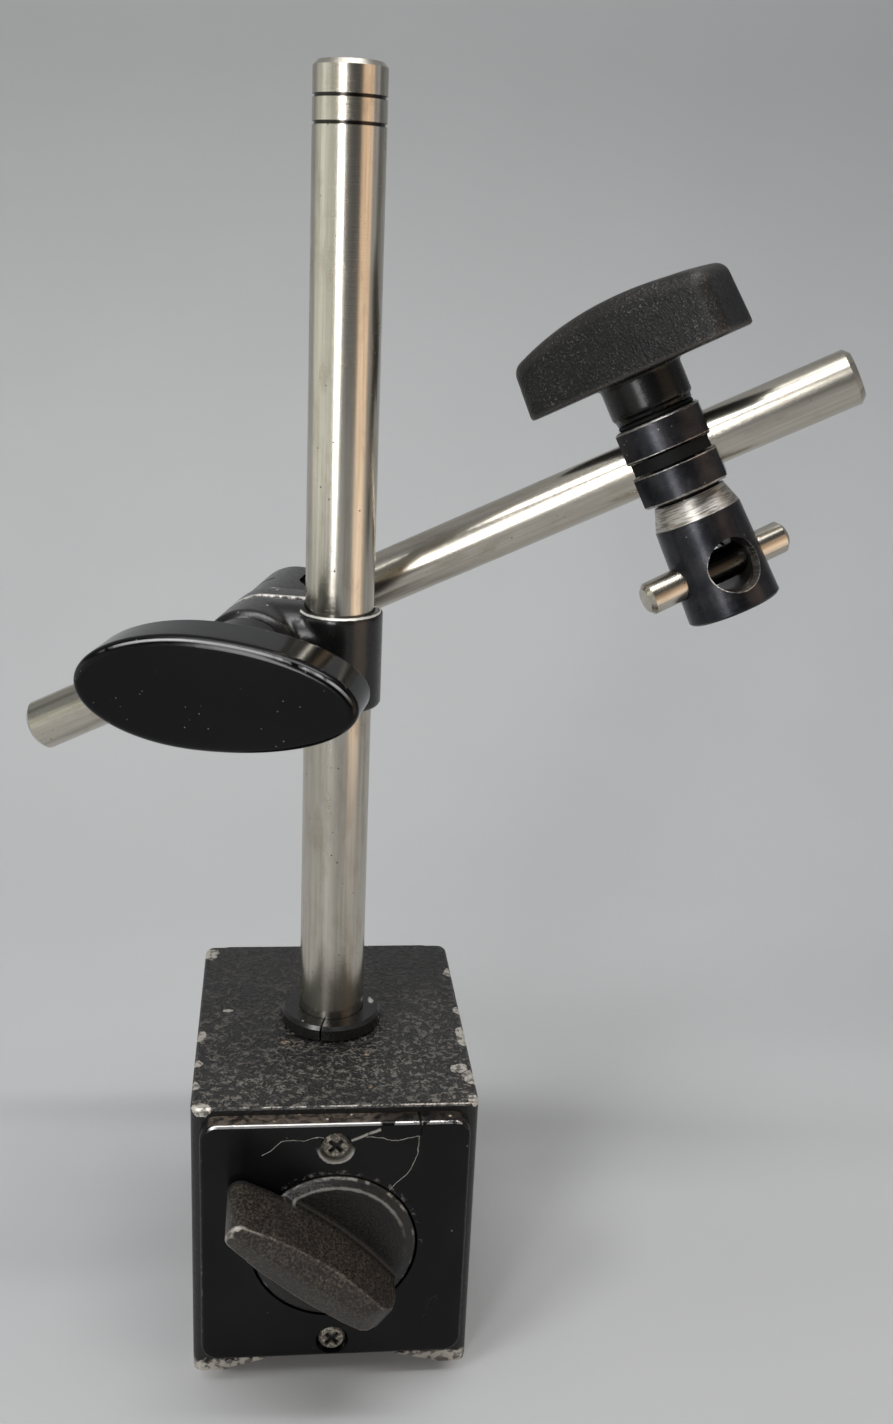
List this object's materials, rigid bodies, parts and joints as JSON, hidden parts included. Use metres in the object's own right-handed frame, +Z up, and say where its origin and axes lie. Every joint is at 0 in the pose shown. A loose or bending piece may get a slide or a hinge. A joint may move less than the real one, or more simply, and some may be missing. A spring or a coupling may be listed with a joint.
{
  "type": "magnetic indicator stand",
  "caption": "Switchable magnetic base with an upright post, a sliding clamp, a tilting arm and an end clamp that holds an indicator by its stem.",
  "frame": {"origin": "centre of the base's underside, on the surface that the stand sits on, below the post's axis", "axes": "+Z up along the post, -Y towards the front plate with the switch, +X to the right seen from the front"},
  "size_m": [0.1507, 0.0891, 0.224],
  "materials": {
    "painted_block": "worn textured black paint over machined iron",
    "painted_plate": "smooth black paint with worn edges",
    "spacer_brass": "flat brass filler under black paint",
    "bright_screw": "worn bright steel",
    "magnet": "dull ferrite",
    "rotor_steel": "ground steel",
    "switch_black": "worn satin black moulding",
    "bright_steel": "polished nickel-plated steel",
    "black_collar": "black oxide",
    "black_enamel": "gloss black enamel with worn edges",
    "plain_steel": "turned steel",
    "insert_brass": "turned brass",
    "gloss_moulding": "gloss black moulding, bare face",
    "black_oxide": "black oxide steel with bright worn edges",
    "textured_moulding": "fine textured black moulding"
  },
  "bodies": {
    "base": {"base_pole_left": "painted_block", "base_pole_right": "painted_block", "spacer_top": "spacer_brass", "spacer_bottom": "spacer_brass", "front_plate": "painted_plate", "rear_plate": "painted_plate", "front_plate_screws": "bright_screw", "rear_plate_screws": "bright_screw", "stop_pin": "plain_steel", "collar_ring": "black_collar"},
    "switch": {"switch_knob": "switch_black", "rotor_magnet": "magnet", "rotor_shoes": "rotor_steel", "rotor_front_cap": "insert_brass", "rotor_rear_cap": "insert_brass"},
    "upright": {"post": "bright_steel"},
    "post_clamp": {"post_clamp_body": "black_enamel", "clamp_washer": "plain_steel"},
    "arm_clamp": {"arm_sleeve": "black_enamel", "eye_bolt": "plain_steel"},
    "oval_knob": {"clamp_knob": "gloss_moulding", "clamp_knob_insert": "insert_brass"},
    "arm_bar": {"arm": "bright_steel"},
    "end_clamp": {"spindle": "plain_steel", "upper_jaw": "black_oxide", "lower_jaw": "black_oxide", "friction_washer": "plain_steel"},
    "top_knob": {"tee_knob": "textured_moulding", "tee_knob_insert": "insert_brass", "thrust_washer": "plain_steel"},
    "stem_head": {"head_sleeve": "black_oxide", "drawbar": "plain_steel"},
    "head_pin": {"cross_pin": "bright_steel"}
  },
  "joints": [
    {"name": "switch_turn", "type": "hinge", "parent": "base", "child": "switch", "pos_m": [0, 0, 0.0287], "axis": [0, 1, 0], "range_deg": [0, 90]},
    {"name": "upright_swing", "type": "hinge", "parent": "base", "child": "upright", "pos_m": [0, 0, 0], "axis": [0, 0, 1], "continuous": true},
    {"name": "clamp_height", "type": "slide", "parent": "upright", "child": "post_clamp", "axis": [0, 0, 1], "range_m": [-0.025, 0.08]},
    {"name": "arm_tilt", "type": "hinge", "parent": "post_clamp", "child": "arm_clamp", "pos_m": [-0.01349, 0.00336, 0.1277], "axis": [-0.2419, -0.9703, 0], "range_deg": [-35, 15]},
    {"name": "oval_knob_turn", "type": "hinge", "parent": "arm_clamp", "child": "oval_knob", "pos_m": [-0.01349, 0.00336, 0.1277], "axis": [-0.2419, -0.9703, 0], "range_deg": [-90, 90]},
    {"name": "arm_slide", "type": "slide", "parent": "arm_clamp", "child": "arm_bar", "axis": [0.863, -0.2152, 0.4571], "range_m": [-0.01, 0.03]},
    {"name": "end_clamp_roll", "type": "hinge", "parent": "arm_bar", "child": "end_clamp", "pos_m": [-0.00826, 0.02432, 0.1277], "axis": [0.863, -0.2152, 0.4571], "range_deg": [-60, 60]},
    {"name": "top_knob_turn", "type": "hinge", "parent": "end_clamp", "child": "top_knob", "pos_m": [0.05888, 0.00758, 0.16326], "axis": [-0.4237, 0.1847, 0.8868], "range_deg": [-90, 90]},
    {"name": "head_swivel", "type": "hinge", "parent": "end_clamp", "child": "stem_head", "pos_m": [0.05888, 0.00758, 0.16326], "axis": [-0.4237, 0.1847, 0.8868], "continuous": true},
    {"name": "pin_slide", "type": "slide", "parent": "stem_head", "child": "head_pin", "axis": [0.8985, 0.2103, 0.3854], "range_m": [-0.005, 0.005]}
  ]
}
